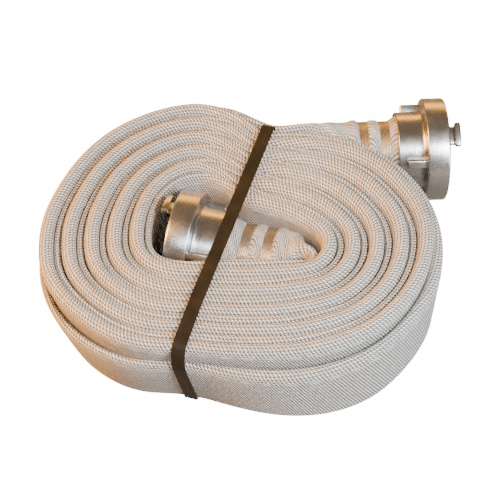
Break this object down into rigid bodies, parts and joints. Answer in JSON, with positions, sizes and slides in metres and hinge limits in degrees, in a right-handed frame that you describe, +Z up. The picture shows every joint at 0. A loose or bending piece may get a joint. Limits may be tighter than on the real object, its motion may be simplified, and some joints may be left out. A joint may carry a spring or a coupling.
{
  "type": "rolled fire hose",
  "caption": "Flat woven fire hose rolled on its side round one claw coupling, held by a plastic band, with a second claw coupling on its free end.",
  "frame": {"origin": "on the floor, under the middle of the whole object's bounding box", "axes": "+Z up, square to the roll's flat side; +X along the long side, towards the outer coupling's face; +Y towards the side where the outer coupling lies"},
  "size_m": [0.3844, 0.3404, 0.098],
  "materials": {
    "woven_jacket": "twill weave polyester, matt",
    "cast_aluminium": "forged, satin",
    "machined_aluminium": "turned, satin",
    "black_rubber": "smooth",
    "spring_steel": "bright",
    "binding_wire": "close-wound wire, bright",
    "black_strapping": "embossed, semi-gloss"
  },
  "bodies": {
    "roll": {"hose_roll": "woven_jacket", "hose_inner_tail": "woven_jacket", "hose_outer_tail": "woven_jacket", "band": "black_strapping", "inner_tailpiece": "machined_aluminium", "inner_seal": "black_rubber", "inner_snap_ring": "spring_steel", "inner_lining_end": "black_rubber", "inner_binding_1": "binding_wire", "inner_binding_2": "binding_wire", "outer_tailpiece": "machined_aluminium", "outer_seal": "black_rubber", "outer_snap_ring": "spring_steel", "outer_lining_end": "black_rubber", "outer_binding_1": "binding_wire", "outer_binding_2": "binding_wire"},
    "inner_lug_ring_body": {"inner_lug_ring": "cast_aluminium"},
    "outer_lug_ring_body": {"outer_lug_ring": "cast_aluminium"}
  },
  "joints": [
    {"name": "outer_swivel", "type": "hinge", "parent": "roll", "child": "outer_lug_ring_body", "pos_m": [0.15974, 0.12047, 0.049], "axis": [0.999, 0.0454, 0], "continuous": true},
    {"name": "inner_swivel", "type": "hinge", "parent": "roll", "child": "inner_lug_ring_body", "pos_m": [-0.05528, -0.0041, 0.049], "axis": [-0.9699, 0.2436, 0], "continuous": true}
  ]
}
